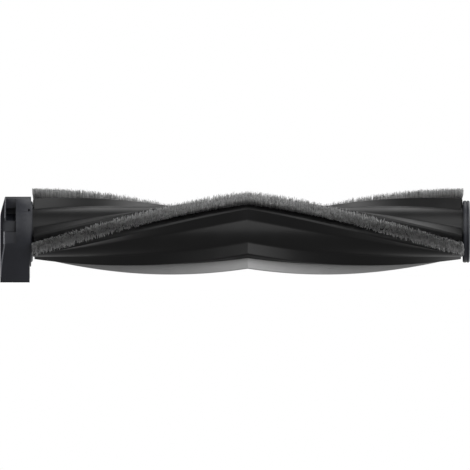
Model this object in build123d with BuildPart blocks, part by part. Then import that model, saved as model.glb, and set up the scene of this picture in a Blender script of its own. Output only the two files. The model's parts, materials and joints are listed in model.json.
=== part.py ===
# Roller brush of a floor-cleaning robot: a twisted three-lobed core that carries two bristle rows and
# a rubber wiper blade, running in a ball bearing in a stationary end block, driven by a square socket.
# Frame: X along the spin axis with the end block at -X, +Z up, origin on the floor under the middle.
import os
from math import acos, atan2, cos, degrees, hypot, radians, sin

from build123d import *

os.makedirs("parts", exist_ok=True)

# Lengths along the spin axis, from the end block to the drive end
axis_height = 20.4
block_length = 12.3
flange_reveal = 0.7
flange_thickness = 2.6
half_length = 86.1
cap_thickness = 2.8

# Lobed core: angles are measured from the front towards the top
core_radius = 10.0
lobe_count = 3
lobe_angle_at_mid = 61.0
twist_per_mm = 1.0
flank_base_angle = 33.5
flank_fillet = 1.5
wall_tip_radius = 13.6
wall_tip_angle = 19.0
wall_tip_width = 1.3
trough_floor = 12.8
trough_width = 4.4
lobe_setback = 0.6
lobe_overlap = 1.0

# T-slots of the core and the strips that slide into them
slot_clearance = 0.05
strip_head_width = 4.2
strip_head_depth = 1.4
strip_neck_width = 2.2
strip_neck_depth = 1.4
strip_end_gap = 0.1

# Bristle rows and wiper blade
brush_radius = 17.2
row_base_width = 2.0
row_tip_width = 5.6
pile_seat_gap = 0.05
blade_base_width = 1.6
blade_tip_width = 0.8

# Axle, hubs and their keys
axle_radius = 2.0
axle_overhang = 2.7
axle_chamfer = 0.4
press_clearance = 0.02
hub_radius = 6.3
hub_clearance = 0.05
flange_hub_length = 8.0
cap_hub_length = 10.0
hub_end_gap = 0.3
key_width = 2.0
key_height = 0.9
flange_radius = 12.2
cap_radius = 12.4
disc_chamfer = 0.4
spigot_width = 9.0
spigot_length = 4.0
spigot_end_gap = 0.2

# Drive socket in the right cap
socket_width = 7.0
socket_depth = 8.0
socket_floor = 1.4
socket_lead_in = 0.6
cap_groove_inner = 7.6
cap_groove_outer = 10.6
cap_groove_depth = 0.8
rim_groove_offset = 1.4
rim_groove_width = 0.3
rim_groove_depth = 0.25

# Ball bearing
bearing_radius = 5.5
bearing_width = 4.0
inner_ring_radius = 2.9
outer_ring_bore = 4.6
ball_radius = 1.0
ball_count = 7
race_clearance = 0.04
cage_thickness = 0.7
cage_width = 2.8
shield_thickness = 0.25
shield_inset = 0.1
shield_inner_gap = 0.25

# Retaining clip on the axle
clip_radius = 3.4
clip_thickness = 0.6
clip_groove_depth = 0.4
clip_side_gap = 0.05
clip_mouth = 3.0

# End block
collar_radius = 14.0
mouth_radius = 12.6
flange_side_gap = 0.3
foot_shoulder_width = 18.6
foot_shoulder_drop = 11.6
foot_base_width = 11.8
foot_setback = 0.55
chamber_radius = 4.2
foot_corner = 1.0
lip_slot_width = 0.7
lip_slot_height = 1.3
lip_slot_setback = 0.75
lip_slot_angle = 38.0

# Domed end cover and its two snap arms, which lie in recesses of the block
cover_thickness = 2.4
dome_flat_radius = 5.5
dome_shoulder_radius = 8.5
dome_shoulder_drop = 0.4
dome_drop = 1.9
recess_length = 4.0
recess_bottom = -4.7
recess_flat_depth = 1.6
rib_half_width = 4.6
rib_floor = 9.4
web_half_width = 0.6
web_floor = 7.0
window_floor = 5.2
window_floor_inset = 4.4
arm_height = 4.2
arm_thickness = 1.2
arm_setback = 2.2
arm_gap = 0.15
arm_end_gap = 0.2
hook_length = 1.2
hook_depth = 0.8
plug_depth = 1.2
plug_wall = 1.2
plug_gap = 0.1

# Stations on the X axis
overall_length = block_length + flange_reveal + 2 * half_length + cap_thickness
block_left = -overall_length / 2
mouth_x = block_left + block_length
roller_left = mouth_x + flange_reveal
mid_x = roller_left + half_length
roller_right = mid_x + half_length
cap_right = roller_right + cap_thickness
flange_left = roller_left - flange_thickness
bearing_right = flange_left - flange_side_gap
bearing_left = bearing_right - bearing_width
axle_left = bearing_left - axle_overhang
axle_right = cap_right - socket_depth - socket_floor
cover_seam = block_left + cover_thickness
recess_right = cover_seam + recess_length
foot_right = mouth_x - foot_setback

# Angles at the core's ends, where the keys sit in the valleys between the lobes
lobe_angle_at_end = lobe_angle_at_mid - twist_per_mm * half_length
lobe_pitch = 360 / lobe_count
key_angle = lobe_angle_at_end + lobe_pitch / 2
ball_pitch_radius = (inner_ring_radius + outer_ring_bore) / 2

spin_axis = Axis((0, 0, axis_height), (1, 0, 0))
axial_plane = Plane(origin=(0, 0, axis_height), x_dir=(1, 0, 0), z_dir=(0, -1, 0))
mid_plane = Plane(origin=(mid_x, 0, axis_height), x_dir=(0, 1, 0), z_dir=(1, 0, 0))
downwards = Location((0, 0), -90)


def cross_plane(x):
    # A plane across the spin axis: its own x points to the back, its own y points up
    return Plane(origin=(x, 0, axis_height), x_dir=(0, 1, 0), z_dir=(1, 0, 0))


def at_angle(angle):
    # Turns a cross section so that its x direction points outwards at an angle from the front
    return Location((0, 0), 180 - angle)


def polar(radius, angle):
    return (radius * cos(radians(angle)), radius * sin(radians(angle)))


def save(builder, name):
    builder.part.label = name
    export_step(builder.part, f"parts/{name}.step")


def twist_left(length):
    # Sweeps the section drawn at the middle towards the block, turning it with the core's twist
    start = (mid_x, 0, axis_height)
    with BuildLine(mode=Mode.PRIVATE) as spine:
        Line(start, (mid_x - length, 0, axis_height))
    with BuildLine(mode=Mode.PRIVATE) as guide:
        Helix(360 / twist_per_mm, length, brush_radius, start, (-1, 0, 0), lefthand=True)
    sweep(path=spine.line, binormal=guide.edge())


def tube(left, right, outer, inner, mode=Mode.ADD):
    # A ring round the spin axis between two stations
    with BuildSketch(axial_plane) as ring:
        with Locations((left, inner)):
            Rectangle(right - left, outer - inner, align=Align.MIN)
    revolve(ring.sketch, axis=spin_axis, mode=mode)


def hub_keys(left, right, extra, mode=Mode.ADD):
    # The keys of a hub, or with extra room their keyways
    with BuildSketch(cross_plane(left)) as keys:
        for index in range(lobe_count):
            with Locations(at_angle(key_angle + index * lobe_pitch)):
                Rectangle(
                    hub_radius + key_height + extra,
                    key_width + 2 * extra,
                    align=(Align.MIN, Align.CENTER),
                )
    extrude(keys.sketch, amount=right - left, mode=mode)


def strip_root(angle):
    # The T-section that holds a strip in its slot, drawn in the section at the middle
    with Locations(at_angle(angle)):
        with Locations((slot_head_bottom, 0)):
            Rectangle(strip_head_depth, strip_head_width, align=(Align.MIN, Align.CENTER))
        with Locations((slot_neck_bottom, 0)):
            Rectangle(strip_neck_depth, strip_neck_width, align=(Align.MIN, Align.CENTER))


# Core section: each lobe is a pair of walls with a trough between them, over a T-slot
wall_inner_angle = wall_tip_angle - degrees(wall_tip_width / wall_tip_radius)
lobe_root = core_radius - lobe_overlap
slot_neck_bottom = trough_floor - strip_neck_depth
slot_head_bottom = slot_neck_bottom - strip_head_depth
lobe_side = [
    polar(lobe_root, flank_base_angle),
    polar(core_radius, flank_base_angle),
    polar(wall_tip_radius, wall_tip_angle),
    polar(wall_tip_radius, wall_inner_angle),
    (trough_floor, trough_width / 2),
]
lobe_outline = [(u, -v) for u, v in lobe_side] + lobe_side[::-1]
lobe_angles = [lobe_angle_at_mid + index * lobe_pitch for index in range(lobe_count)]
row_angles = {"a": lobe_angles[0], "b": lobe_angles[1]}
blade_angle = lobe_angles[2]

with BuildPart() as core_half:
    with BuildSketch(mid_plane) as core_section:
        Circle(core_radius)
        for angle in lobe_angles:
            with Locations(at_angle(angle)):
                Polygon(*lobe_outline, align=None)
        flank_roots = core_section.vertices().filter_by(
            lambda v: abs(v.center().length - core_radius) < slot_clearance
        )
        fillet(flank_roots, flank_fillet)
        for angle in lobe_angles:
            with Locations(at_angle(angle)):
                with Locations((slot_head_bottom - slot_clearance, 0)):
                    Rectangle(
                        strip_head_depth + 2 * slot_clearance,
                        strip_head_width + 2 * slot_clearance,
                        align=(Align.MIN, Align.CENTER),
                        mode=Mode.SUBTRACT,
                    )
                with Locations((slot_neck_bottom, 0)):
                    Rectangle(
                        strip_neck_depth + slot_clearance,
                        strip_neck_width + 2 * slot_clearance,
                        align=(Align.MIN, Align.CENTER),
                        mode=Mode.SUBTRACT,
                    )
    twist_left(half_length)
    # The lobes stop short of the end disc
    with BuildSketch(cross_plane(roller_left)):
        Circle(brush_radius)
        Circle(core_radius + slot_clearance, mode=Mode.SUBTRACT)
    extrude(amount=lobe_setback, mode=Mode.SUBTRACT)
    with BuildSketch(cross_plane(roller_left)):
        Circle(axle_radius + press_clearance)
    extrude(amount=half_length, mode=Mode.SUBTRACT)

# Left core half, with its counterbore for the flange hub and a hexagonal spigot at the middle
with BuildPart() as roller_core_left:
    add(core_half.part)
    counterbore_end = roller_left + flange_hub_length + hub_end_gap
    with BuildSketch(cross_plane(roller_left)):
        Circle(hub_radius + hub_clearance)
    extrude(amount=counterbore_end - roller_left, mode=Mode.SUBTRACT)
    hub_keys(roller_left, counterbore_end, hub_clearance, Mode.SUBTRACT)
    with BuildSketch(mid_plane):
        RegularPolygon(spigot_width / 2, 6, major_radius=False)
        Circle(axle_radius + press_clearance, mode=Mode.SUBTRACT)
    extrude(amount=spigot_length)
save(roller_core_left, "roller_core_left")

# Right core half, its mirror image, with a socket for the spigot and a deeper counterbore
with BuildPart() as roller_core_right:
    mirror(core_half.part, about=mid_plane)
    counterbore_start = roller_right - cap_hub_length - hub_end_gap
    with BuildSketch(cross_plane(counterbore_start)):
        Circle(hub_radius + hub_clearance)
    extrude(amount=roller_right - counterbore_start, mode=Mode.SUBTRACT)
    hub_keys(counterbore_start, roller_right, hub_clearance, Mode.SUBTRACT)
    with BuildSketch(mid_plane):
        RegularPolygon(spigot_width / 2 + hub_clearance, 6, major_radius=False)
    extrude(amount=spigot_length + spigot_end_gap, mode=Mode.SUBTRACT)
save(roller_core_right, "roller_core_right")

# Bristle rows, each a pile on a backing rail, in two halves that meet at the middle
strip_length = half_length - strip_end_gap
pile_foot = trough_floor + pile_seat_gap
for name, angle in row_angles.items():
    with BuildPart() as rail_left:
        with BuildSketch(mid_plane):
            strip_root(angle)
        twist_left(strip_length)
    save(rail_left, f"bristle_rail_{name}_left")
    with BuildPart() as rail_right:
        mirror(rail_left.part, about=mid_plane)
    save(rail_right, f"bristle_rail_{name}_right")
    with BuildPart() as row_left:
        with BuildSketch(mid_plane):
            with Locations(at_angle(angle)):
                Polygon(
                    (pile_foot, -row_base_width / 2),
                    (brush_radius, -row_tip_width / 2),
                    (brush_radius, row_tip_width / 2),
                    (pile_foot, row_base_width / 2),
                    align=None,
                )
            Circle(brush_radius, mode=Mode.INTERSECT)
        twist_left(strip_length)
    save(row_left, f"bristle_row_{name}_left")
    with BuildPart() as row_right:
        mirror(row_left.part, about=mid_plane)
    save(row_right, f"bristle_row_{name}_right")

# Wiper blade, one rubber strip on each half with its root in the slot
with BuildPart() as wiper_blade_left:
    with BuildSketch(mid_plane):
        strip_root(blade_angle)
        with Locations(at_angle(blade_angle)):
            Polygon(
                (trough_floor, -blade_base_width / 2),
                (brush_radius, -blade_tip_width / 2),
                (brush_radius, blade_tip_width / 2),
                (trough_floor, blade_base_width / 2),
                align=None,
            )
    twist_left(strip_length)
save(wiper_blade_left, "wiper_blade_left")
with BuildPart() as wiper_blade_right:
    mirror(wiper_blade_left.part, about=mid_plane)
save(wiper_blade_right, "wiper_blade_right")

# Axle through the roller, with a groove for the retaining clip
clip_right = bearing_left - clip_side_gap
clip_left = clip_right - clip_thickness
groove_radius = axle_radius - clip_groove_depth
with BuildPart() as axle:
    tube(axle_left, axle_right, axle_radius, 0)
    chamfer(axle.edges().filter_by(GeomType.CIRCLE), axle_chamfer)
    with BuildSketch(axial_plane):
        with Locations((clip_left, groove_radius)):
            Rectangle(clip_thickness, axle_radius, align=Align.MIN)
    revolve(axis=spin_axis, mode=Mode.SUBTRACT)
save(axle, "axle")

# Retaining clip: a spring ring open at the front, gripping the groove
with BuildPart() as retaining_clip:
    with BuildSketch(cross_plane(clip_left)):
        Circle(clip_radius)
        Circle(groove_radius + press_clearance, mode=Mode.SUBTRACT)
        Rectangle(clip_radius, clip_mouth, align=(Align.MAX, Align.CENTER), mode=Mode.SUBTRACT)
    extrude(amount=clip_thickness)
save(retaining_clip, "retaining_clip")

# Left end flange: disc, keyed hub in the core and a boss against the bearing's inner ring
with BuildPart() as left_end_flange:
    tube(flange_left, roller_left, flange_radius, axle_radius + press_clearance)
    rims = left_end_flange.edges().filter_by(GeomType.CIRCLE).group_by(SortBy.RADIUS)[-1]
    chamfer(rims, disc_chamfer)
    hub_end = roller_left + flange_hub_length
    tube(roller_left, hub_end, hub_radius, axle_radius + press_clearance)
    hub_keys(roller_left, hub_end, 0)
    tube(bearing_right, flange_left, inner_ring_radius, axle_radius + press_clearance)
    with BuildSketch(cross_plane(bearing_right)):
        Circle(axle_radius + press_clearance)
    extrude(amount=hub_end - bearing_right, mode=Mode.SUBTRACT)
save(left_end_flange, "left_end_flange")

# Right drive cap: disc and keyed hub with the square drive socket and a blind bore for the axle
with BuildPart() as right_drive_cap:
    tube(roller_right, cap_right, cap_radius, 0)
    rims = right_drive_cap.edges().filter_by(GeomType.CIRCLE).group_by(SortBy.RADIUS)[-1]
    chamfer(rims, disc_chamfer)
    hub_start = roller_right - cap_hub_length
    tube(hub_start, roller_right, hub_radius, 0)
    hub_keys(hub_start, roller_right, 0)
    with BuildSketch(cross_plane(hub_start)):
        Circle(axle_radius + press_clearance)
    extrude(amount=axle_right + press_clearance - hub_start, mode=Mode.SUBTRACT)
    with BuildSketch(cross_plane(cap_right)):
        Rectangle(socket_width, socket_width)
    extrude(amount=-socket_depth, mode=Mode.SUBTRACT)
    socket_edges = right_drive_cap.faces().sort_by(Axis.X)[-1].inner_wires()[0].edges()
    chamfer(socket_edges, socket_lead_in)
    with BuildSketch(cross_plane(cap_right)):
        Circle(cap_groove_outer)
        Circle(cap_groove_inner, mode=Mode.SUBTRACT)
    extrude(amount=-cap_groove_depth, mode=Mode.SUBTRACT)
    rim_groove_left = roller_right + rim_groove_offset
    rim_groove_right = rim_groove_left + rim_groove_width
    rim_groove_floor = cap_radius - rim_groove_depth
    tube(rim_groove_left, rim_groove_right, cap_radius + rim_groove_depth, rim_groove_floor, Mode.SUBTRACT)
save(right_drive_cap, "right_drive_cap")

# Ball bearing: two grooved rings, the balls, their cage and a shield on each side
bearing_mid = (bearing_left + bearing_right) / 2
bearing_plane = cross_plane(bearing_mid)
race_radius = ball_radius + race_clearance


def race_groove():
    # The round groove that the balls run in
    with BuildSketch(axial_plane) as groove:
        with Locations((bearing_mid, ball_pitch_radius)):
            Circle(race_radius)
    revolve(groove.sketch, axis=spin_axis, mode=Mode.SUBTRACT)


with BuildPart() as bearing_inner_ring:
    tube(bearing_left, bearing_right, inner_ring_radius, axle_radius + press_clearance)
    race_groove()
save(bearing_inner_ring, "bearing_inner_ring")

with BuildPart() as bearing_outer_ring:
    tube(bearing_left, bearing_right, bearing_radius, outer_ring_bore)
    race_groove()
save(bearing_outer_ring, "bearing_outer_ring")

with BuildPart(bearing_plane) as bearing_balls:
    with PolarLocations(ball_pitch_radius, ball_count):
        Sphere(ball_radius)
save(bearing_balls, "bearing_balls")

cage_outer = ball_pitch_radius + cage_thickness / 2
cage_inner = ball_pitch_radius - cage_thickness / 2
with BuildPart(bearing_plane) as bearing_cage:
    tube(bearing_mid - cage_width / 2, bearing_mid + cage_width / 2, cage_outer, cage_inner)
    with PolarLocations(ball_pitch_radius, ball_count):
        Cylinder(race_radius, outer_ring_bore, rotation=(0, 90, 0), mode=Mode.SUBTRACT)
save(bearing_cage, "bearing_cage")

shield_outer = outer_ring_bore - press_clearance
shield_bore = inner_ring_radius + shield_inner_gap
shield_starts = {
    "left": bearing_left + shield_inset,
    "right": bearing_right - shield_inset - shield_thickness,
}
for side, shield_start in shield_starts.items():
    with BuildPart() as bearing_shield:
        tube(shield_start, shield_start + shield_thickness, shield_outer, shield_bore)
    save(bearing_shield, f"bearing_shield_{side}")


# The block's sides leave the round collar at a tangent and draw in towards the foot
shoulder_reach = hypot(foot_shoulder_width / 2, foot_shoulder_drop)
shoulder_angle = degrees(atan2(foot_shoulder_drop, foot_shoulder_width / 2))
tangent_angle = shoulder_angle - degrees(acos(collar_radius / shoulder_reach))
back_side = [
    polar(collar_radius, -tangent_angle),
    (foot_shoulder_width / 2, -foot_shoulder_drop),
    (foot_base_width / 2, -axis_height),
]
front_side = [(-y, z) for y, z in back_side]


def block_outline(left, right):
    # The end block's round housing with the foot below it
    with BuildSketch(cross_plane(left)) as outline:
        with BuildLine():
            ThreePointArc(back_side[0], (0, collar_radius), front_side[0])
            Polyline(*back_side, *front_side[::-1])
        make_face()
        fillet(outline.vertices().group_by(Axis.Y)[0], foot_corner)
    extrude(outline.sketch, amount=right - left)


# One side's recess, seen along the axis: a deep window under the top rib, a seat for the snap arm
# and a shallow flat below it
arm_face = collar_radius - arm_setback
arm_back = arm_face - arm_thickness
arm_seat = arm_back - arm_gap
recess_flat = collar_radius - recess_flat_depth
far_out = 2 * collar_radius
recess_profile = [
    (far_out, far_out),
    (rib_half_width, far_out),
    (rib_half_width, rib_floor),
    (web_half_width, rib_floor),
    (web_half_width, web_floor),
    (window_floor_inset, window_floor),
    (arm_seat, arm_height + arm_gap),
    (arm_seat, -arm_gap),
    (recess_flat, -arm_gap),
    (recess_flat, recess_bottom),
    (far_out, recess_bottom),
]
edge_profile = [
    (far_out, arm_height),
    (arm_face, arm_height),
    (arm_face, 0),
    (recess_flat, 0),
    (recess_flat, recess_bottom),
    (far_out, recess_bottom),
]
arm_right = recess_right - arm_end_gap
hook_left = arm_right - hook_length
slot_left = hook_left - arm_gap
slot_depth = hook_depth + 2 * arm_gap

# Bearing block: housing, collar mouth for the flange, bearing seat, axle chamber and side recesses
with BuildPart() as bearing_block:
    block_outline(cover_seam, foot_right)
    with BuildSketch(cross_plane(foot_right)):
        with Locations(downwards):
            Circle(collar_radius)
    extrude(amount=mouth_x - foot_right)
    with BuildSketch(cross_plane(bearing_right)):
        Circle(mouth_radius)
    extrude(amount=mouth_x - bearing_right, mode=Mode.SUBTRACT)
    with BuildSketch(cross_plane(bearing_left)):
        Circle(bearing_radius + press_clearance)
    extrude(amount=bearing_width, mode=Mode.SUBTRACT)
    with BuildSketch(cross_plane(cover_seam)):
        Circle(chamber_radius)
    extrude(amount=bearing_left - cover_seam, mode=Mode.SUBTRACT)
    with BuildSketch(cross_plane(cover_seam)):
        for side in (-1, 1):
            Polygon(*[(side * y, z) for y, z in recess_profile], align=None)
    extrude(amount=recess_length, dir=(1, 0, 0), mode=Mode.SUBTRACT)
    # Slots in the recess floors that the arms' hooks drop into
    with BuildSketch(cross_plane(slot_left)):
        with Locations((arm_back, -arm_gap)):
            Rectangle(slot_depth, arm_height + 2 * arm_gap, align=(Align.MAX, Align.MIN))
        mirror(about=Plane.YZ)
    extrude(amount=recess_right - slot_left, dir=(1, 0, 0), mode=Mode.SUBTRACT)
    # Small slot through the collar's lip
    lip_direction = (0, -cos(radians(lip_slot_angle)), sin(radians(lip_slot_angle)))
    lip_centre = Vector(mouth_x - lip_slot_setback, 0, axis_height) + Vector(lip_direction) * bearing_radius
    with BuildSketch(Plane(origin=lip_centre, x_dir=(1, 0, 0), z_dir=lip_direction)):
        SlotOverall(lip_slot_height, lip_slot_width, rotation=90)
    extrude(amount=collar_radius, mode=Mode.SUBTRACT)
save(bearing_block, "bearing_block")

# End cover: a plate that domes back from its flat middle, a locating ring and two hooked snap arms
dome_plane = Plane(origin=(0, 0, axis_height), x_dir=(1, 0, 0), z_dir=(0, 0, -1))
dome_edge = block_left + dome_drop
with BuildPart() as block_end_cover:
    block_outline(block_left, cover_seam)
    with BuildSketch(dome_plane) as dome_cut:
        with BuildLine():
            dome_arc = TangentArc(
                (block_left, dome_flat_radius),
                (block_left + dome_shoulder_drop, dome_shoulder_radius),
                tangent=(0, 1),
            )
            Polyline(
                dome_arc @ 1,
                (dome_edge, collar_radius),
                (dome_edge, far_out),
                (block_left - dome_drop, far_out),
                (block_left - dome_drop, dome_flat_radius),
                dome_arc @ 0,
            )
        make_face()
        mirror(about=Plane.XZ)
    extrude(amount=axis_height, dir=(0, 0, -1), mode=Mode.SUBTRACT)
    with BuildSketch(dome_plane):
        add(dome_cut.sketch_local.faces().sort_by(Axis.Y)[-1])
    revolve(axis=Axis((0, 0, axis_height), (-1, 0, 0)), revolution_arc=180, mode=Mode.SUBTRACT)
    # The faces of the arms and of the flats below them run on across the plate's edge
    with BuildSketch(cross_plane(block_left)):
        for side in (-1, 1):
            Polygon(*[(side * y, z) for y, z in edge_profile], align=None)
    extrude(amount=cover_thickness, dir=(1, 0, 0), mode=Mode.SUBTRACT)
    with BuildSketch(cross_plane(cover_seam)):
        Circle(chamber_radius - plug_gap)
        Circle(chamber_radius - plug_gap - plug_wall, mode=Mode.SUBTRACT)
    extrude(amount=plug_depth)
    with BuildSketch(cross_plane(cover_seam)):
        with Locations((arm_face, 0)):
            Rectangle(arm_thickness, arm_height, align=(Align.MAX, Align.MIN))
        mirror(about=Plane.YZ)
    extrude(amount=arm_right - cover_seam, dir=(1, 0, 0))
    with BuildSketch(cross_plane(hook_left)):
        with Locations((arm_back, 0)):
            Rectangle(hook_depth, arm_height, align=(Align.MAX, Align.MIN))
        mirror(about=Plane.YZ)
    extrude(amount=hook_length, dir=(1, 0, 0))
save(block_end_cover, "block_end_cover")
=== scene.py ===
import json
from math import acos, atan2, cos, pi, radians, sin, tan

import bmesh
import bpy
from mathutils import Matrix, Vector


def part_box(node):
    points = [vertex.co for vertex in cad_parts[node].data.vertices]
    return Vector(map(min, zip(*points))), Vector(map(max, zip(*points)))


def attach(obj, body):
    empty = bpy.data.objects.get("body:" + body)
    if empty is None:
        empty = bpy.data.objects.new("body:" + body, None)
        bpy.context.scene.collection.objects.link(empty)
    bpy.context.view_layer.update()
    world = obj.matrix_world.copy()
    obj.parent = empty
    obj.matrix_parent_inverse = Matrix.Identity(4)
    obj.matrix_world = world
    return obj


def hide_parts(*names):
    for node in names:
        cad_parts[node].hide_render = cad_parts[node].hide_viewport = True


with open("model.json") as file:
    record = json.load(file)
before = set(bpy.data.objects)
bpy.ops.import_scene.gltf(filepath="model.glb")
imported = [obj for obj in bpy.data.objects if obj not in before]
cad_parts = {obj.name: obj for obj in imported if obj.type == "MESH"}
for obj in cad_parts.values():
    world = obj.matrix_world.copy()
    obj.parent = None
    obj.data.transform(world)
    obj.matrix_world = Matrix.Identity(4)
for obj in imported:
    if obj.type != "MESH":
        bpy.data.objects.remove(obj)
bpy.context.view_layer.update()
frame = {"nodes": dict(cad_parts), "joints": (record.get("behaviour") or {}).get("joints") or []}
mm = 0.001
mergeDistance = 0.002 * mm
sharpAngle = radians(38)  # a steeper fold of the core or the blade is shaded as an edge

# Stations of the roller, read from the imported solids
axisHeight = frame["joints"][0]["pos_m"][2]
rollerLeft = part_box("roller_core_left")[0].x
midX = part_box("roller_core_right")[0].x
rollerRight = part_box("roller_core_right")[1].x
halfLength = midX - rollerLeft
print("frame loaded, roller", round(rollerLeft, 4), "to", round(rollerRight, 4))


def addNode(tree, kind, wires=None, **settings):
    node = tree.nodes.new(kind)
    for name, value in settings.items():
        setattr(node, name, value)
    for key, value in (wires or {}).items():
        if isinstance(value, bpy.types.NodeSocket):
            tree.links.new(value, node.inputs[key])
        else:
            node.inputs[key].default_value = value
    return node


def addObject(name, data):
    item = bpy.data.objects.new(name, data)
    bpy.context.scene.collection.objects.link(item)
    return item


def hexColour(text):
    channels = [int(text[i:i + 2], 16) / 255 for i in (1, 3, 5)]
    linear = [c / 12.92 if c <= 0.04045 else ((c + 0.055) / 1.055) ** 2.4 for c in channels]
    return (*linear, 1.0)


def newMaterial(name):
    material = bpy.data.materials.new(name)
    material.use_nodes = True
    material.node_tree.nodes.clear()
    return material, material.node_tree


noiseLow, noiseHigh = 0.3, 0.7  # noise seldom leaves this band

# Spark-eroded ABS: a matte, bluish-black moulding whose fine pits break up the highlights
erodedAbs = {"ior": 1.54, "pit": 0.22 * mm, "pitDepth": 0.012 * mm, "pitStrength": 0.35, "blotch": 6 * mm}
blockFinish = {"dark": "#303239", "light": "#393b43", "rough": (0.42, 0.54)}
# painted shade: the cover's finish is a darker copy of the block's, standing in for the shade on its
# left-facing domed end
shadedCoverFinish = {"dark": "#2a2c32", "light": "#32343b", "rough": (0.42, 0.54)}
discFinish = {"dark": "#303239", "light": "#393b43", "rough": (0.36, 0.46)}
# painted highlight: a pale, glossier finish for the cover's rim bevel, standing in for the light line along
# its edge
rimHighlightFinish = {"dark": "#95979e", "light": "#a5a7ae", "rough": (0.30, 0.40)}


def makeErodedAbs(name, finish):
    material, tree = newMaterial(name)
    place = addNode(tree, "ShaderNodeTexCoord").outputs["Object"]
    pits = addNode(
        tree, "ShaderNodeTexNoise", {"Vector": place, "Scale": 1 / erodedAbs["pit"], "Detail": 3.0}
    ).outputs["Fac"]
    blotch = addNode(
        tree, "ShaderNodeTexNoise", {"Vector": place, "Scale": 1 / erodedAbs["blotch"], "Detail": 2.0}
    ).outputs["Fac"]
    colour = addNode(
        tree, "ShaderNodeMix",
        {0: blotch, 6: hexColour(finish["dark"]), 7: hexColour(finish["light"])}, data_type="RGBA",
    )
    smoothest, roughest = finish["rough"]
    rough = addNode(
        tree, "ShaderNodeMapRange",
        {"Value": pits, "From Min": noiseLow, "From Max": noiseHigh, "To Min": smoothest, "To Max": roughest},
    )
    bump = addNode(
        tree, "ShaderNodeBump",
        {"Height": pits, "Strength": erodedAbs["pitStrength"], "Distance": erodedAbs["pitDepth"]},
    )
    shader = addNode(
        tree, "ShaderNodeBsdfPrincipled",
        {
            "Base Color": colour.outputs[2], "Roughness": rough.outputs[0], "Normal": bump.outputs[0],
            "IOR": erodedAbs["ior"],
        },
    )
    addNode(tree, "ShaderNodeOutputMaterial", {"Surface": shader.outputs[0]})
    return material


# Semi-gloss ABS of the core: polished tool marks run along it and the gloss drifts a little with the flow
polishedAbs = {
    "ior": 1.54, "dark": "#0b0b0c", "light": "#101011", "rough": (0.34, 0.42), "flow": 9 * mm,
    "line": 0.5 * mm, "lineStretch": 0.04, "lineDepth": 0.004 * mm, "lineStrength": 0.25,
}


def makePolishedAbs():
    material, tree = newMaterial("semi_gloss_abs")
    place = addNode(tree, "ShaderNodeTexCoord").outputs["Object"]
    flow = addNode(
        tree, "ShaderNodeTexNoise", {"Vector": place, "Scale": 1 / polishedAbs["flow"], "Detail": 3.0}
    ).outputs["Fac"]
    stretch = addNode(
        tree, "ShaderNodeMapping", {"Vector": place, "Scale": (polishedAbs["lineStretch"], 1.0, 1.0)}
    )
    lines = addNode(
        tree, "ShaderNodeTexNoise",
        {"Vector": stretch.outputs[0], "Scale": 1 / polishedAbs["line"], "Detail": 2.0},
    ).outputs["Fac"]
    colour = addNode(
        tree, "ShaderNodeMix",
        {0: flow, 6: hexColour(polishedAbs["dark"]), 7: hexColour(polishedAbs["light"])}, data_type="RGBA",
    )
    smoothest, roughest = polishedAbs["rough"]
    rough = addNode(
        tree, "ShaderNodeMapRange",
        {"Value": flow, "From Min": noiseLow, "From Max": noiseHigh, "To Min": smoothest, "To Max": roughest},
    )
    bump = addNode(
        tree, "ShaderNodeBump",
        {"Height": lines, "Strength": polishedAbs["lineStrength"], "Distance": polishedAbs["lineDepth"]},
    )
    shader = addNode(
        tree, "ShaderNodeBsdfPrincipled",
        {
            "Base Color": colour.outputs[2], "Roughness": rough.outputs[0], "Normal": bump.outputs[0],
            "IOR": polishedAbs["ior"],
        },
    )
    addNode(tree, "ShaderNodeOutputMaterial", {"Surface": shader.outputs[0]})
    return material


# Extruded grey TPU: satin, with faint die lines that follow the blade's length
greyTpu = {
    "ior": 1.5, "dark": "#c2c2c2", "light": "#cdcdcd", "rough": (0.42, 0.54), "blotch": 4 * mm,
    "dieLine": 0.16 * mm, "lineDepth": 0.006 * mm, "lineStrength": 0.3,
    "scatterShare": 0.12, "scatterDepth": 1.0 * mm,
}


def makeGreyTpu():
    material, tree = newMaterial("extruded_grey_tpu")
    place = addNode(tree, "ShaderNodeTexCoord").outputs["Object"]
    reach = addNode(tree, "ShaderNodeAttribute", attribute_name="reach").outputs["Fac"]
    lines = addNode(
        tree, "ShaderNodeTexNoise",
        {"W": reach, "Scale": 1 / greyTpu["dieLine"], "Detail": 1.0}, noise_dimensions="1D",
    ).outputs["Fac"]
    blotch = addNode(
        tree, "ShaderNodeTexNoise", {"Vector": place, "Scale": 1 / greyTpu["blotch"], "Detail": 3.0}
    ).outputs["Fac"]
    colour = addNode(
        tree, "ShaderNodeMix",
        {0: blotch, 6: hexColour(greyTpu["dark"]), 7: hexColour(greyTpu["light"])}, data_type="RGBA",
    )
    smoothest, roughest = greyTpu["rough"]
    rough = addNode(
        tree, "ShaderNodeMapRange",
        {
            "Value": blotch, "From Min": noiseLow, "From Max": noiseHigh,
            "To Min": smoothest, "To Max": roughest,
        },
    )
    bump = addNode(
        tree, "ShaderNodeBump",
        {"Height": lines, "Strength": greyTpu["lineStrength"], "Distance": greyTpu["lineDepth"]},
    )
    shader = addNode(
        tree, "ShaderNodeBsdfPrincipled",
        {
            "Base Color": colour.outputs[2], "Roughness": rough.outputs[0], "Normal": bump.outputs[0],
            "IOR": greyTpu["ior"], "Subsurface Weight": greyTpu["scatterShare"],
            "Subsurface Radius": (greyTpu["scatterDepth"],) * 3, "Subsurface Scale": 1.0,
        },
    )
    addNode(tree, "ShaderNodeOutputMaterial", {"Surface": shader.outputs[0]})
    return material


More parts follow.
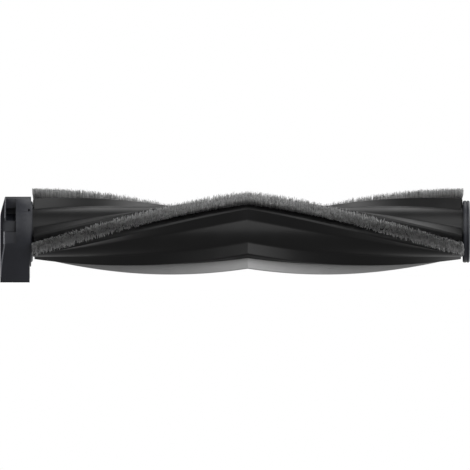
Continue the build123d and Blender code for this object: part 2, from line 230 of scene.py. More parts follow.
# Drawn nylon filament: a cloudy grey that looks dark where hairs shade each other
# Each hair is a little lighter or darker than the next; its colour is painted lighter towards the root to
# offset the shade among the roots, so it is darker towards its cut end
greyNylon = {
    "ior": 1.53, "dark": "#5c5c5c", "light": "#f0f0f0", "rough": 0.48,
    "paintedRootLight": 0.79, "paintedLightFade": -0.45, "hairShare": 0.75,
    "scatterShare": 0.8, "scatterDepth": 0.5 * mm,
}


def makeGreyNylon():
    material, tree = newMaterial("grey_nylon_filament")
    tone = addNode(tree, "ShaderNodeAttribute", attribute_name="tone").outputs["Fac"]
    reach = addNode(tree, "ShaderNodeAttribute", attribute_name="reach").outputs["Fac"]
    # painted light: the colour is lighter towards the roots, offsetting the shade among them
    fade = addNode(
        tree, "ShaderNodeMath",
        {0: reach, 1: greyNylon["paintedLightFade"], 2: greyNylon["paintedRootLight"]}, operation="MULTIPLY_ADD",
    )
    share = addNode(
        tree, "ShaderNodeMath",
        {0: tone, 1: greyNylon["hairShare"], 2: fade.outputs[0]}, operation="MULTIPLY_ADD",
    )
    colour = addNode(
        tree, "ShaderNodeMix",
        {0: share.outputs[0], 6: hexColour(greyNylon["dark"]), 7: hexColour(greyNylon["light"])},
        data_type="RGBA",
    )
    shader = addNode(
        tree, "ShaderNodeBsdfPrincipled",
        {
            "Base Color": colour.outputs[2], "Roughness": greyNylon["rough"], "IOR": greyNylon["ior"],
            "Subsurface Weight": greyNylon["scatterShare"],
            "Subsurface Radius": (greyNylon["scatterDepth"],) * 3, "Subsurface Scale": 1.0,
        },
    )
    addNode(tree, "ShaderNodeOutputMaterial", {"Surface": shader.outputs[0]})
    return material


# Extruded black rubber of the backing rails: dull and faintly mottled
railRubber = {"ior": 1.5, "dark": "#0f0f0f", "light": "#1a1a1a", "rough": 0.72, "mottle": 0.8 * mm}


def makeRailRubber():
    material, tree = newMaterial("extruded_black_rubber")
    place = addNode(tree, "ShaderNodeTexCoord").outputs["Object"]
    mottle = addNode(
        tree, "ShaderNodeTexNoise", {"Vector": place, "Scale": 1 / railRubber["mottle"], "Detail": 3.0}
    ).outputs["Fac"]
    colour = addNode(
        tree, "ShaderNodeMix",
        {0: mottle, 6: hexColour(railRubber["dark"]), 7: hexColour(railRubber["light"])}, data_type="RGBA",
    )
    shader = addNode(
        tree, "ShaderNodeBsdfPrincipled",
        {"Base Color": colour.outputs[2], "Roughness": railRubber["rough"], "IOR": railRubber["ior"]},
    )
    addNode(tree, "ShaderNodeOutputMaterial", {"Surface": shader.outputs[0]})
    return material


# Ground bearing steel: bright, with fine turning lines round the spin axis
groundSteel = {"dark": "#9a9ca0", "light": "#c4c6ca", "rough": (0.2, 0.36), "turning": 0.12 * mm}


def makeGroundSteel():
    material, tree = newMaterial("ground_steel")
    place = addNode(tree, "ShaderNodeTexCoord").outputs["Object"]
    along = addNode(tree, "ShaderNodeSeparateXYZ", {0: place}).outputs["X"]
    lines = addNode(
        tree, "ShaderNodeTexNoise",
        {"W": along, "Scale": 1 / groundSteel["turning"], "Detail": 2.0}, noise_dimensions="1D",
    ).outputs["Fac"]
    colour = addNode(
        tree, "ShaderNodeMix",
        {0: lines, 6: hexColour(groundSteel["dark"]), 7: hexColour(groundSteel["light"])}, data_type="RGBA",
    )
    smoothest, roughest = groundSteel["rough"]
    rough = addNode(
        tree, "ShaderNodeMapRange",
        {
            "Value": lines, "From Min": noiseLow, "From Max": noiseHigh,
            "To Min": smoothest, "To Max": roughest,
        },
    )
    shader = addNode(
        tree, "ShaderNodeBsdfPrincipled",
        {"Base Color": colour.outputs[2], "Roughness": rough.outputs[0], "Metallic": 1.0},
    )
    addNode(tree, "ShaderNodeOutputMaterial", {"Surface": shader.outputs[0]})
    return material


blockAbs = makeErodedAbs("eroded_block_abs", blockFinish)
shadedCoverAbs = makeErodedAbs("eroded_shaded_cover_abs", shadedCoverFinish)
rimHighlightAbs = makeErodedAbs("painted_highlight_rim_abs", rimHighlightFinish)
discAbs = makeErodedAbs("satin_disc_abs", discFinish)
coreAbs = makePolishedAbs()
bladeTpu = makeGreyTpu()
bristleNylon = makeGreyNylon()
rubber = makeRailRubber()
steel = makeGroundSteel()
print("materials made")


def newTree(name, sockets):
    tree = bpy.data.node_groups.new(name, "GeometryNodeTree")
    for socketName, kind in sockets.items():
        tree.interface.new_socket(socketName, in_out="INPUT", socket_type="NodeSocket" + kind)
    tree.interface.new_socket("Geometry", in_out="OUTPUT", socket_type="NodeSocketGeometry")
    return tree, addNode(tree, "NodeGroupInput").outputs


def growMesh(name, tree, sizes):
    piece = addObject(name, bpy.data.meshes.new(name))
    modifier = piece.modifiers.new("grow", "NODES")
    modifier.node_group = tree
    for item in tree.interface.items_tree:
        if item.in_out == "INPUT":
            modifier[item.identifier] = sizes[item.name]
    graph = bpy.context.evaluated_depsgraph_get()
    plain = bpy.data.meshes.new_from_object(piece.evaluated_get(graph), depsgraph=graph)
    piece.modifiers.clear()
    piece.data = plain
    plain.name = name
    return piece


# Twist about the spin axis: everything on the core turns with its distance from the middle
def makeTwistTree():
    tree, source = newTree(
        "twistAboutAxis",
        {
            "Geometry": "Geometry", "Twist": "Float", "Mid X": "Float", "Axis Height": "Float",
            "Turn": "Float",
        },
    )
    position = addNode(tree, "GeometryNodeInputPosition").outputs[0]
    along = addNode(tree, "ShaderNodeSeparateXYZ", {0: position}).outputs["X"]
    offset = addNode(tree, "ShaderNodeMath", {0: along, 1: source["Mid X"]}, operation="SUBTRACT")
    reach = addNode(tree, "ShaderNodeMath", {0: offset.outputs[0]}, operation="ABSOLUTE")
    angle = addNode(
        tree, "ShaderNodeMath",
        {0: reach.outputs[0], 1: source["Twist"], 2: source["Turn"]}, operation="MULTIPLY_ADD",
    )
    centre = addNode(tree, "ShaderNodeCombineXYZ", {"Z": source["Axis Height"]})
    twisted = addNode(
        tree, "ShaderNodeVectorRotate",
        {"Vector": position, "Center": centre.outputs[0], "Axis": (1, 0, 0), "Angle": angle.outputs[0]},
        rotation_type="AXIS_ANGLE",
    )
    moved = addNode(
        tree, "GeometryNodeSetPosition", {"Geometry": source["Geometry"], "Position": twisted.outputs[0]}
    )
    addNode(tree, "NodeGroupOutput", {0: moved.outputs[0]})
    return tree


twistTree = makeTwistTree()
boreSides = 48


# A bar with one section all along, closed at both ends, bored out and twisted
def makeBarTree():
    tree, source = newTree(
        "twistedBar",
        {
            "Section": "Object", "Start X": "Float", "End X": "Float", "Segments": "Int",
            "Start Bore": "Float", "End Bore": "Float", "Step X": "Float",
            "Twist": "Float", "Mid X": "Float", "Axis Height": "Float", "Material": "Material",
        },
    )
    section = addNode(tree, "GeometryNodeObjectInfo", {"Object": source["Section"]}).outputs["Geometry"]
    start = addNode(tree, "ShaderNodeCombineXYZ", {"X": source["Start X"], "Z": source["Axis Height"]})
    end = addNode(tree, "ShaderNodeCombineXYZ", {"X": source["End X"], "Z": source["Axis Height"]})
    line = addNode(
        tree, "GeometryNodeCurvePrimitiveLine", {"Start": start.outputs[0], "End": end.outputs[0]}
    )
    path = addNode(
        tree, "GeometryNodeResampleCurve", {"Curve": line.outputs[0], "Count": source["Segments"]}
    )
    skin = addNode(
        tree, "GeometryNodeCurveToMesh", {"Curve": path.outputs[0], "Profile Curve": section}
    )

    # The bore changes its radius at the step
    position = addNode(tree, "GeometryNodeInputPosition").outputs[0]
    along = addNode(tree, "ShaderNodeSeparateXYZ", {0: position}).outputs["X"]
    past = addNode(
        tree, "FunctionNodeCompare", {0: along, 1: source["Step X"]}, operation="GREATER_THAN"
    )
    boreRadius = addNode(
        tree, "GeometryNodeSwitch",
        {"Switch": past.outputs[0], "False": source["Start Bore"], "True": source["End Bore"]},
        input_type="FLOAT",
    )
    ring = addNode(tree, "GeometryNodeCurvePrimitiveCircle", {"Resolution": boreSides, "Radius": 1.0})
    tube = addNode(
        tree, "GeometryNodeCurveToMesh",
        {"Curve": path.outputs[0], "Profile Curve": ring.outputs[0], "Scale": boreRadius.outputs[0]},
    )
    bore = addNode(tree, "GeometryNodeFlipFaces", {0: tube.outputs[0]})

    # The end faces: the section with the bore left open, turned to face along the axis
    faces = []
    for place, radius in ((start, source["Start Bore"]), (end, source["End Bore"])):
        hole = addNode(
            tree, "GeometryNodeCurvePrimitiveCircle", {"Resolution": boreSides, "Radius": radius}
        )
        loops = addNode(tree, "GeometryNodeJoinGeometry")
        tree.links.new(section, loops.inputs[0])
        tree.links.new(hole.outputs[0], loops.inputs[0])
        filled = addNode(tree, "GeometryNodeFillCurve", {"Curve": loops.outputs[0]})
        faces.append(addNode(
            tree, "GeometryNodeTransform",
            {
                "Geometry": filled.outputs[0], "Translation": place.outputs[0],
                "Rotation": (-pi / 2, 0, -pi / 2),
            },
        ))
    startFace = addNode(tree, "GeometryNodeFlipFaces", {0: faces[0].outputs[0]})

    joined = addNode(tree, "GeometryNodeJoinGeometry")
    for part in (skin, bore, startFace, faces[1]):
        tree.links.new(part.outputs[0], joined.inputs[0])
    closed = addNode(
        tree, "GeometryNodeMergeByDistance", {"Geometry": joined.outputs[0], "Distance": mergeDistance}
    )
    # The distance from the axis, for the die lines of the blade
    lift = addNode(tree, "ShaderNodeVectorMath", {0: position, 1: start.outputs[0]}, operation="SUBTRACT")
    across = addNode(tree, "ShaderNodeVectorMath", {0: lift.outputs[0], 1: (0, 1, 1)}, operation="MULTIPLY")
    fromAxis = addNode(tree, "ShaderNodeVectorMath", {0: across.outputs[0]}, operation="LENGTH")
    marked = addNode(
        tree, "GeometryNodeStoreNamedAttribute",
        {"Geometry": closed.outputs[0], "Name": "reach", "Value": fromAxis.outputs["Value"]},
        data_type="FLOAT", domain="POINT",
    )
    twisted = addNode(
        tree, "GeometryNodeGroup",
        {
            "Geometry": marked.outputs[0], "Twist": source["Twist"], "Mid X": source["Mid X"],
            "Axis Height": source["Axis Height"],
        },
        node_tree=twistTree,
    )
    smooth = addNode(tree, "GeometryNodeSetShadeSmooth", {"Geometry": twisted.outputs[0]})
    real = addNode(tree, "GeometryNodeRealizeInstances", {"Geometry": smooth.outputs[0]})
    dressed = addNode(
        tree, "GeometryNodeSetMaterial", {"Geometry": real.outputs[0], "Material": source["Material"]}
    )
    addNode(tree, "NodeGroupOutput", {0: dressed.outputs[0]})
    return tree


barTree = makeBarTree()


# Corners (u, v, radius) of an outline, with an arc in place of each rounded corner
def roundedOutline(corners, arcStep=radians(12)):
    points = []
    for index, (u, v, radius) in enumerate(corners):
        corner = Vector((u, v))
        if radius == 0:
            points.append(corner)
            continue
        before = (Vector(corners[index - 1][:2]) - corner).normalized()
        after = (Vector(corners[(index + 1) % len(corners)][:2]) - corner).normalized()
        half = acos(max(-1, min(1, before.dot(after)))) / 2
        first = corner + before * (radius / tan(half))
        last = corner + after * (radius / tan(half))
        centre = corner + (before + after).normalized() * (radius / sin(half))
        startAngle = atan2(first.y - centre.y, first.x - centre.x)
        sweep = atan2(last.y - centre.y, last.x - centre.x) - startAngle
        sweep = (sweep + pi) % (2 * pi) - pi
        steps = max(2, round(abs(sweep) / arcStep))
        for step in range(steps + 1):
            angle = startAngle + sweep * step / steps
            points.append(centre + Vector((cos(angle), sin(angle))) * radius)
    return points


# A closed curve for a section; angles run from the front towards the top
def sectionCurve(name, outline):
    data = bpy.data.curves.new(name, "CURVE")
    data.dimensions = "3D"
    spline = data.splines.new("POLY")
    spline.points.add(len(outline) - 1)
    for point, place in zip(spline.points, reversed(outline)):
        point.co = (place.x, -place.y, 0, 1)
    spline.use_cyclic_u = True
    return addObject(name, data)


def turned(corner, angle):
    u, v, radius = corner
    return (u * cos(angle) - v * sin(angle), u * sin(angle) + v * cos(angle), radius)


def polar(radius, angle, rounding=0):
    return (radius * cos(angle), radius * sin(angle), rounding)


# Twisted core: three lobes, each a pair of walls with a trough between them over a T-slot
core = {
    "radius": 10.0 * mm, "lobes": 3, "lobeAngle": radians(61), "twist": radians(1) / mm,
    "flankAngle": radians(33.5), "flankFillet": 1.5 * mm, "valleySteps": 12,
    "tipRadius": 13.6 * mm, "tipAngle": radians(19), "tipWidth": 0.9 * mm, "tipRounding": 0.2 * mm,
    "floor": 13.05 * mm, "troughWidth": 4.4 * mm, "floorRounding": 0.3 * mm,
    "slotNeck": 2.3 * mm, "slotHead": 4.3 * mm, "slotShoulder": 11.45 * mm, "slotBottom": 9.95 * mm,
    "setback": 0.6 * mm, "sink": 0.2 * mm, "segments": 116, "neckSteps": 72,
    "axleBore": 2.02 * mm, "hubBore": 6.35 * mm, "leftHub": 8.3 * mm, "rightHub": 10.3 * mm,
}
lobePitch = 2 * pi / core["lobes"]
lobeAngles = [core["lobeAngle"] + index * lobePitch for index in range(core["lobes"])]


def lobeFlank():
    innerAngle = core["tipAngle"] - core["tipWidth"] / core["tipRadius"]
    return [
        polar(core["radius"], core["flankAngle"], core["flankFillet"]),
        polar(core["tipRadius"], core["tipAngle"], core["tipRounding"]),
        polar(core["tipRadius"], innerAngle, core["tipRounding"]),
        (core["floor"], core["troughWidth"] / 2, core["floorRounding"]),
        (core["floor"], core["slotNeck"] / 2, 0),
        (core["slotShoulder"], core["slotNeck"] / 2, 0),
        (core["slotShoulder"], core["slotHead"] / 2, 0),
        (core["slotBottom"], core["slotHead"] / 2, 0),
    ]


def lobedOutline():
    # Each lobe's own corners, mirrored, then the round valley up to the next lobe
    flank = lobeFlank()
    mirrored = [(u, -v, radius) for u, v, radius in flank]
    valley = lobePitch - 2 * core["flankAngle"]
    corners = []
    for angle in lobeAngles:
        corners += [turned(corner, angle) for corner in mirrored + flank[::-1]]
        for step in range(1, core["valleySteps"]):
            valleyAngle = angle + core["flankAngle"] + valley * step / core["valleySteps"]
            corners.append(polar(core["radius"], valleyAngle))
    return roundedOutline(corners)


coreSection = sectionCurve("coreSection", lobedOutline())
neckRing = [polar(core["radius"], 2 * pi * step / core["neckSteps"]) for step in range(core["neckSteps"])]
neckSection = sectionCurve("neckSection", roundedOutline(neckRing))
shared = {"Twist": core["twist"], "Mid X": midX, "Axis Height": axisHeight}


def joinMeshes(name, parts):
    target = parts[0]
    build = bmesh.new()
    for part in parts:
        build.from_mesh(part.data)
    build.to_mesh(target.data)
    build.free()
    for part in parts[1:]:
        bpy.data.objects.remove(part)
    target.name = name
    return target


def makeCoreHalf(side):
    # side is -1 for the half at the block and 1 for the half at the drive cap
    lobeEnd = midX + side * (halfLength - core["setback"])
    neckStart = lobeEnd - side * core["sink"]
    neckEnd = midX + side * halfLength
    hubDepth = core["leftHub"] if side < 0 else core["rightHub"]
    sizes = dict(shared, Material=coreAbs)
    sizes["Step X"] = neckEnd - side * hubDepth
    ends = {"Start Bore": core["axleBore"], "End Bore": core["hubBore"]}
    if side < 0:
        ends = {"Start Bore": core["hubBore"], "End Bore": core["axleBore"]}
    lobes = growMesh("lobes", barTree, {
        **sizes, **ends, "Section": coreSection, "Segments": core["segments"],
        "Start X": min(midX, lobeEnd), "End X": max(midX, lobeEnd),
    })
    neck = growMesh("neck", barTree, {
        **sizes, "Start Bore": core["hubBore"], "End Bore": core["hubBore"],
        "Section": neckSection, "Segments": 2,
        "Start X": min(neckStart, neckEnd), "End X": max(neckStart, neckEnd),
    })
    name = "left" if side < 0 else "right"
    piece = joinMeshes(f"core_{name}", [lobes, neck])
    piece.data.set_sharp_from_angle(angle=sharpAngle)
    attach(piece, "roller")
    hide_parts(f"roller_core_{name}")
    return piece


for side in (-1, 1):
    half = makeCoreHalf(side)
    print("core half", half.name, len(half.data.polygons), "faces")


# Wiper blade: a tapering lip with a rounded edge on a T-root
blade = {
    "headBottom": 10.0 * mm, "headTop": 11.4 * mm, "headWidth": 4.2 * mm, "neckWidth": 2.2 * mm,
    "base": 12.8 * mm, "baseWidth": 1.6 * mm, "rootFillet": 0.25 * mm,
    "tip": 17.2 * mm, "tipWidth": 0.8 * mm, "tipRounding": 0.3 * mm, "endGap": 0.1 * mm, "segments": 116,
}


def makeBladeSection():
    flank = [
        (blade["headBottom"], blade["headWidth"] / 2, 0),
        (blade["headTop"], blade["headWidth"] / 2, 0),
        (blade["headTop"], blade["neckWidth"] / 2, 0),
        (blade["base"], blade["neckWidth"] / 2, 0),
        (blade["base"], blade["baseWidth"] / 2, blade["rootFillet"]),
        (blade["tip"], blade["tipWidth"] / 2, blade["tipRounding"]),
    ]
    corners = [(u, -v, radius) for u, v, radius in flank] + flank[::-1]
    return sectionCurve("bladeSection", roundedOutline([turned(corner, lobeAngles[2]) for corner in corners]))


bladeSection = makeBladeSection()
for side, name in ((-1, "left"), (1, "right")):
    bladeEnd = midX + side * (halfLength - blade["endGap"])
    piece = growMesh(f"blade_{name}", barTree, {
        **shared, "Material": bladeTpu, "Section": bladeSection, "Segments": blade["segments"],
        "Start Bore": 0.0, "End Bore": 0.0, "Step X": midX,
        "Start X": min(midX, bladeEnd), "End X": max(midX, bladeEnd),
    })
    piece.data.set_sharp_from_angle(angle=sharpAngle)
    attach(piece, "roller")
    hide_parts(f"wiper_blade_{name}")
    print("blade half", name, len(piece.data.polygons), "faces")


# Bristle rows: filaments stand on the rail, fan out to the tip and lean together in loose clumps
pile = {
    "count": 7000, "root": 12.8 * mm, "tip": 16.9 * mm, "rootWidth": 2.7 * mm, "tipWidth": 5.0 * mm,
    "thickness": 0.18 * mm, "lengthJitter": 1.0 * mm, "clumpSize": 0.6 * mm, "clumpLean": 0.6 * mm,
    "clumpTone": 0.35, "strayAlong": 0.3 * mm, "strayAcross": 1.7 * mm,
    "endGap": 0.3 * mm, "endFan": 0.5 * mm, "fanReach": 3 * mm,
    "seeds": {"a_left": 7, "a_right": 27, "b_left": 10, "b_right": 30}, "seedStep": 101.0,
}

# One hair, of unit length and thickness: bent on its way up and a little thinner at the cut end
hair = {
    "sides": 3, "rootRadius": 0.5, "bendHeight": 0.6, "bend": 1.2, "bendRadius": 0.48, "cutRadius": 0.32,
}


def makeFilament():
    build = bmesh.new()
    reach = build.verts.layers.float.new("reach")
    stations = (
        (0.0, 0.0, hair["rootRadius"]),
        (hair["bendHeight"], hair["bend"], hair["bendRadius"]),
        (1.0, 0.0, hair["cutRadius"]),
    )
    rings = []
    for height, lean, radius in stations:
        ring = []
        for corner in range(hair["sides"]):
            angle = 2 * pi * corner / hair["sides"]
            vertex = build.verts.new((lean + radius * cos(angle), radius * sin(angle), height))
            vertex[reach] = height
            ring.append(vertex)
        rings.append(ring)
    for lower, upper in zip(rings, rings[1:]):
        for corner in range(hair["sides"]):
            after = (corner + 1) % hair["sides"]
            build.faces.new((lower[corner], lower[after], upper[after], upper[corner]))
    build.faces.new(rings[-1])
    build.faces.new(rings[0][::-1])
    mesh = bpy.data.meshes.new("filament")
    build.to_mesh(mesh)
    build.free()
    mesh.shade_smooth()
    return addObject("filament", mesh)


def makePileTree():
    tree, source = newTree(
        "bristlePile",
        {
            "Filament": "Object", "Count": "Int", "Start X": "Float", "End X": "Float", "Lobe Turn": "Float",
            "Root": "Float", "Tip": "Float", "Root Width": "Float", "Tip Width": "Float",
            "Thickness": "Float", "Length Jitter": "Float", "Clump Size": "Float", "Clump Lean": "Float",
            "Stray Along": "Float", "Stray Across": "Float", "Clump Tone": "Float",
            "End Fan": "Float", "Fan Start": "Float", "Fan End": "Float", "Seed": "Int",
            "Twist": "Float", "Mid X": "Float", "Axis Height": "Float", "Material": "Material",
        },
    )
    # Seven random numbers from -0.5 to 0.5 for each filament
    draws = []
    for offset in range(7):
        seed = addNode(
            tree, "ShaderNodeMath", {0: source["Seed"], 1: offset * pile["seedStep"]}, operation="ADD"
        )
        draw = addNode(tree, "FunctionNodeRandomValue", {2: -0.5, 3: 0.5, "Seed": seed.outputs[0]})
        draws.append(draw.outputs[1])
    along, across, longer, strayX, strayY, spin, tone = draws

    # The roots are scattered over the rail
    span = addNode(tree, "ShaderNodeMath", {0: source["End X"], 1: source["Start X"]}, operation="SUBTRACT")
    bothEnds = addNode(tree, "ShaderNodeMath", {0: source["Start X"], 1: source["End X"]}, operation="ADD")
    halfway = addNode(tree, "ShaderNodeMath", {0: bothEnds.outputs[0], 1: 0.5}, operation="MULTIPLY")
    rootX = addNode(
        tree, "ShaderNodeMath",
        {0: along, 1: span.outputs[0], 2: halfway.outputs[0]}, operation="MULTIPLY_ADD",
    )
    rootY = addNode(tree, "ShaderNodeMath", {0: across, 1: source["Root Width"]}, operation="MULTIPLY")
    rootZ = addNode(tree, "ShaderNodeMath", {0: source["Axis Height"], 1: source["Root"]}, operation="ADD")
    root = addNode(
        tree, "ShaderNodeCombineXYZ", {"X": rootX.outputs[0], "Y": rootY.outputs[0], "Z": rootZ.outputs[0]}
    )

    # Neighbours lean the same way, by a noise over the rail
    clumpScale = addNode(tree, "ShaderNodeMath", {0: 1.0, 1: source["Clump Size"]}, operation="DIVIDE")
    clump = addNode(
        tree, "ShaderNodeTexNoise",
        {"Vector": root.outputs[0], "Scale": clumpScale.outputs[0], "Detail": 1.0},
    )
    clumpOffset = addNode(
        tree, "ShaderNodeVectorMath", {0: clump.outputs["Color"], 1: (0.5, 0.5, 0.5)}, operation="SUBTRACT"
    )
    clumpMove = addNode(
        tree, "ShaderNodeVectorMath",
        {0: clumpOffset.outputs[0], "Scale": source["Clump Lean"]}, operation="SCALE",
    )
    clumped = addNode(tree, "ShaderNodeSeparateXYZ", {0: clumpMove.outputs[0]})
    clumpDepth = addNode(tree, "ShaderNodeSeparateXYZ", {0: clumpOffset.outputs[0]}).outputs["Z"]
    hairTone = addNode(
        tree, "ShaderNodeMath", {0: clumpDepth, 1: source["Clump Tone"], 2: tone}, operation="MULTIPLY_ADD"
    )
    # At the disc the last filaments fan outwards
    fan = addNode(
        tree, "ShaderNodeMapRange",
        {
            "Value": rootX.outputs[0], "From Min": source["Fan Start"], "From Max": source["Fan End"],
            "To Max": source["End Fan"],
        },
    )
    leanX = addNode(tree, "ShaderNodeMath", {0: clumped.outputs["X"], 1: fan.outputs[0]}, operation="ADD")
    tipX = addNode(
        tree, "ShaderNodeMath",
        {0: strayX, 1: source["Stray Along"], 2: leanX.outputs[0]}, operation="MULTIPLY_ADD",
    )
    stray = addNode(
        tree, "ShaderNodeMath",
        {0: strayY, 1: source["Stray Across"], 2: clumped.outputs["Y"]}, operation="MULTIPLY_ADD",
    )
    spread = addNode(
        tree, "ShaderNodeMath", {0: source["Tip Width"], 1: source["Root Width"]}, operation="SUBTRACT"
    )
    tipY = addNode(
        tree, "ShaderNodeMath",
        {0: across, 1: spread.outputs[0], 2: stray.outputs[0]}, operation="MULTIPLY_ADD",
    )
    standing = addNode(tree, "ShaderNodeMath", {0: source["Tip"], 1: source["Root"]}, operation="SUBTRACT")
    tipZ = addNode(
        tree, "ShaderNodeMath",
        {0: longer, 1: source["Length Jitter"], 2: standing.outputs[0]}, operation="MULTIPLY_ADD",
    )
    direction = addNode(
        tree, "ShaderNodeCombineXYZ", {"X": tipX.outputs[0], "Y": tipY.outputs[0], "Z": tipZ.outputs[0]}
    )
    length = addNode(tree, "ShaderNodeVectorMath", {0: direction.outputs[0]}, operation="LENGTH")

    # Each hair is rolled about itself, then aimed and stretched to its tip
    turn = addNode(tree, "ShaderNodeMath", {0: spin, 1: 2 * pi}, operation="MULTIPLY")
    turnVector = addNode(tree, "ShaderNodeCombineXYZ", {"Z": turn.outputs[0]})
    rolled = addNode(tree, "FunctionNodeEulerToRotation", {0: turnVector.outputs[0]})
    aimed = addNode(
        tree, "FunctionNodeAlignRotationToVector",
        {"Rotation": rolled.outputs[0], "Vector": direction.outputs[0]}, axis="Z",
    )
    size = addNode(
        tree, "ShaderNodeCombineXYZ",
        {"X": source["Thickness"], "Y": source["Thickness"], "Z": length.outputs["Value"]},
    )
    oneHair = addNode(tree, "GeometryNodeObjectInfo", {"Object": source["Filament"]}).outputs["Geometry"]
    points = addNode(tree, "GeometryNodePoints", {"Count": source["Count"], "Position": root.outputs[0]})
    stored = addNode(
        tree, "GeometryNodeStoreNamedAttribute",
        {"Geometry": points.outputs[0], "Name": "tone", "Value": hairTone.outputs[0]},
        data_type="FLOAT", domain="POINT",
    )
    hairs = addNode(
        tree, "GeometryNodeInstanceOnPoints",
        {
            "Points": stored.outputs[0], "Instance": oneHair,
            "Rotation": aimed.outputs[0], "Scale": size.outputs[0],
        },
    )
    # The twist bends the hairs themselves, so they are made real before it
    real = addNode(tree, "GeometryNodeRealizeInstances", {"Geometry": hairs.outputs[0]})
    twisted = addNode(
        tree, "GeometryNodeGroup",
        {
            "Geometry": real.outputs[0], "Twist": source["Twist"], "Mid X": source["Mid X"],
            "Axis Height": source["Axis Height"], "Turn": source["Lobe Turn"],
        },
        node_tree=twistTree,
    )
    dressed = addNode(
        tree, "GeometryNodeSetMaterial", {"Geometry": twisted.outputs[0], "Material": source["Material"]}
    )
    addNode(tree, "NodeGroupOutput", {0: dressed.outputs[0]})
    return tree


pileTree = makePileTree()
filament = makeFilament()
for row, angle in (("a", lobeAngles[0]), ("b", lobeAngles[1])):
    for side, name in ((-1, "left"), (1, "right")):
        rowEnd = midX + side * (halfLength - pile["endGap"])
        piece = growMesh(f"bristles_{row}_{name}", pileTree, {
            **shared, "Material": bristleNylon, "Filament": filament, "Count": pile["count"],
            "Start X": min(midX, rowEnd), "End X": max(midX, rowEnd), "Lobe Turn": pi / 2 - angle,
            "Root": pile["root"], "Tip": pile["tip"],
            "Root Width": pile["rootWidth"], "Tip Width": pile["tipWidth"],
            "Thickness": pile["thickness"], "Length Jitter": pile["lengthJitter"],
            "Clump Size": pile["clumpSize"], "Clump Lean": pile["clumpLean"], "Clump Tone": pile["clumpTone"],
            "Stray Along": pile["strayAlong"], "Stray Across": pile["strayAcross"],
            "End Fan": side * pile["endFan"],
            "Fan Start": rowEnd - side * pile["fanReach"], "Fan End": rowEnd,
            "Seed": pile["seeds"][f"{row}_{name}"],
        })
        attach(piece, "roller")
        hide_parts(f"bristle_row_{row}_{name}")
        print("bristle row", row, name, len(piece.data.polygons), "faces")
for helper in (coreSection, neckSection, bladeSection, filament):
    bpy.data.objects.remove(helper)


# Moulded block, cover and discs: the solids themselves, with the small radii that moulded edges have
mouldings = {
    "bearing_block": ("block_housing", 0.22 * mm, blockAbs, "end_block", "block_plastic"),
    "block_end_cover": ("block_cover", 0.35 * mm, shadedCoverAbs, "end_block", "block_plastic"),
    "left_end_flange": ("flange_left", 0.15 * mm, discAbs, "roller", "disc_plastic"),
    "right_drive_cap": ("drive_cap", 0.15 * mm, discAbs, "roller", "disc_plastic"),
}
mouldEdge = {"segments": 2, "sharpFrom": radians(32), "flatWithin": radians(0.6)}

# The cover's rim carries a painted highlight, a pale and glossier bevel, apart from the stretch across its
# snap arms and under the foot
rim = {
    "node": "block_end_cover", "width": 0.42 * mm, "segments": 3,
    "lowest": -19 * mm, "armHeight": 5.8 * mm, "topShare": 0.6, "endFacing": -0.9, "wallFacing": -0.1,
}


def rimShare(edge):
    # The part of the rim's full width at this edge, and nothing on every other edge
    if len(edge.link_faces) != 2:
        return 0.0
    outer, wall = sorted(face.normal.x for face in edge.link_faces)
    height = (edge.verts[0].co.z + edge.verts[1].co.z) / 2 - axisHeight
    if outer > rim["endFacing"] or wall < rim["wallFacing"] or height < rim["lowest"]:
        return 0.0
    if height < 0:
        return 1.0
    return rim["topShare"] if height > rim["armHeight"] else 0.0


def addBevel(piece, width, segments, method):
    bevel = piece.modifiers.new("mould radius", "BEVEL")
    bevel.width = width
    bevel.segments = segments
    bevel.limit_method = method
    bevel.angle_limit = mouldEdge["sharpFrom"]
    bevel.harden_normals = True
    bevel.use_clamp_overlap = method == "ANGLE"  # clamped, the rim would shrink to nothing
    return bevel


def makeMoulding(node):
    name, width, material, body, slotName = mouldings[node]
    build = bmesh.new()
    build.from_mesh(frame["nodes"][node].data)
    bmesh.ops.remove_doubles(build, verts=build.verts, dist=mergeDistance)
    bmesh.ops.dissolve_limit(
        build, angle_limit=mouldEdge["flatWithin"], verts=build.verts, edges=build.edges
    )
    if node == rim["node"]:
        weight = build.edges.layers.float.new("bevel_weight_edge")
        build.normal_update()
        for edge in build.edges:
            edge[weight] = rimShare(edge)
    mesh = bpy.data.meshes.new(name)
    build.to_mesh(mesh)
    build.free()
    mesh.materials.append(material)
    mesh.shade_smooth()
    piece = addObject(name, mesh)
    if node == rim["node"]:
        # the rim bevel gets the pale finish of the painted highlight
        mesh.materials.append(rimHighlightAbs)
        addBevel(piece, rim["width"], rim["segments"], "WEIGHT").material = 1
    addBevel(piece, width, mouldEdge["segments"], "ANGLE")
    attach(piece, body)
    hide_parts(node)


for node in mouldings:
    makeMoulding(node)
print("mouldings made")

# The remaining solids keep their shape and get their real finish
finishes = {
    "bearing_outer_ring": steel, "bearing_shield_left": steel, "bearing_shield_right": steel,
    "bearing_cage": steel, "bearing_balls": steel, "bearing_inner_ring": steel,
    "axle": steel, "retaining_clip": steel,
    "bristle_rail_a_left": rubber, "bristle_rail_a_right": rubber,
    "bristle_rail_b_left": rubber, "bristle_rail_b_right": rubber,
}
for node, material in finishes.items():
    frame["nodes"][node].data.materials.clear()
    frame["nodes"][node].data.materials.append(material)
print("solids finished")

# Studio: a pale floor, a white backdrop that only the camera sees, a dim surround and soft lights
studio = {
    "floorRadius": 0.6, "floorSides": 96, "floor": "#f6f6f6", "floorRough": 0.9, "floorGlow": 0.9,
    "background": 1.0, "viewWidth": 188.24 * mm, "viewHeight": 19.04 * mm, "viewDistance": 6.0,
    "farthest": 50, "sensor": 36.0,
}

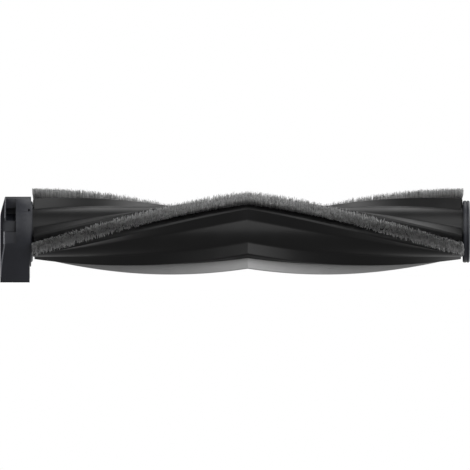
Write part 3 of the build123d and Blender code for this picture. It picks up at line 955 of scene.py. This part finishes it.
# The surround is even and dim, nearly black towards the left back, with a glow low at the right back
surroundTones = (
    {"from": (0.4, -0.91, 0.1), "fade": (-0.98, -0.55), "tone": (0.01, 0.2)},
    {"from": (0.6, 0.78, -0.2), "fade": (0.6, 0.95), "tone": (0, 0.8)},
)

middle = (0, 0, axisHeight)
softboxes = {
    "rightFrontBox": {"place": (0.528, -0.727, 0.459), "target": middle, "size": (1.6, 1.0), "power": 4.5},
    "rightTopBox": {"place": (0.369, -0.439, 0.84), "target": middle, "size": (0.8, 0.56), "power": 1.7},
    "backTopBox": {
        "place": (0.5, 0.56, 0.82), "target": (0.5, 0, axisHeight), "size": (1.3, 0.6), "power": 2.9,
    },
    "leftSheenBox": {"place": (-0.8, -0.5, 0.3), "target": middle, "size": (0.8, 0.8), "power": 3.5},
}
sheenOnly = ("leftSheenBox",)  # shows in reflections only


def makeFloor():
    build = bmesh.new()
    bmesh.ops.create_circle(
        build, cap_ends=True, segments=studio["floorSides"], radius=studio["floorRadius"]
    )
    mesh = bpy.data.meshes.new("floor")
    build.to_mesh(mesh)
    build.free()
    floor = addObject("floor", mesh)
    material, tree = newMaterial("matt_white_sweep")
    shader = addNode(
        tree, "ShaderNodeBsdfPrincipled",
        {
            "Base Color": hexColour(studio["floor"]), "Roughness": studio["floorRough"],
            "Emission Color": hexColour(studio["floor"]), "Emission Strength": studio["floorGlow"],
        },
    )
    addNode(tree, "ShaderNodeOutputMaterial", {"Surface": shader.outputs[0]})
    mesh.materials.append(material)
    floor.visible_glossy = False
    floor.visible_diffuse = False
    floor.visible_transmission = False
    floor.visible_shadow = False


def makeSurround():
    world = bpy.data.worlds.new("studio")
    world.use_nodes = True
    tree = world.node_tree
    tree.nodes.clear()
    direction = addNode(tree, "ShaderNodeTexCoord").outputs["Generated"]
    tones = []
    for part in surroundTones:
        toward = addNode(
            tree, "ShaderNodeVectorMath", {0: direction, 1: part["from"]}, operation="DOT_PRODUCT"
        )
        start, end = part["fade"]
        dim, bright = part["tone"]
        tones.append(addNode(
            tree, "ShaderNodeMapRange",
            {
                "Value": toward.outputs["Value"], "From Min": start, "From Max": end,
                "To Min": dim, "To Max": bright,
            },
            interpolation_type="SMOOTHSTEP",
        ))
    tone = addNode(tree, "ShaderNodeMath", {0: tones[0].outputs[0], 1: tones[1].outputs[0]}, operation="ADD")
    seen = addNode(tree, "ShaderNodeLightPath").outputs["Is Camera Ray"]
    strength = addNode(tree, "ShaderNodeMix", {0: seen, 2: tone.outputs[0], 3: studio["background"]})
    light = addNode(tree, "ShaderNodeBackground", {"Color": (1, 1, 1, 1), "Strength": strength.outputs[0]})
    addNode(tree, "ShaderNodeOutputWorld", {"Surface": light.outputs[0]})
    bpy.context.scene.world = world


def addSoftbox(name, place, target, size, power):
    data = bpy.data.lights.new(name, "AREA")
    data.shape = "RECTANGLE"
    data.size, data.size_y = size
    data.energy = power
    lamp = addObject(name, data)
    lamp.location = place
    lamp.rotation_euler = (Vector(target) - Vector(place)).to_track_quat("-Z", "Y").to_euler()
    lamp.visible_diffuse = name not in sheenOnly


def makeCamera():
    data = bpy.data.cameras.new("camera")
    data.sensor_width = studio["sensor"]
    data.lens = studio["sensor"] * studio["viewDistance"] / studio["viewWidth"]
    data.clip_end = studio["farthest"]
    camera = addObject("camera", data)
    camera.location = (0, -studio["viewDistance"], studio["viewHeight"])
    camera.rotation_euler = (pi / 2, 0, 0)
    bpy.context.scene.camera = camera


makeFloor()
makeSurround()
for name, box in softboxes.items():
    addSoftbox(name, **box)
makeCamera()
bpy.context.scene.view_settings.view_transform = "Standard"
print("studio set")
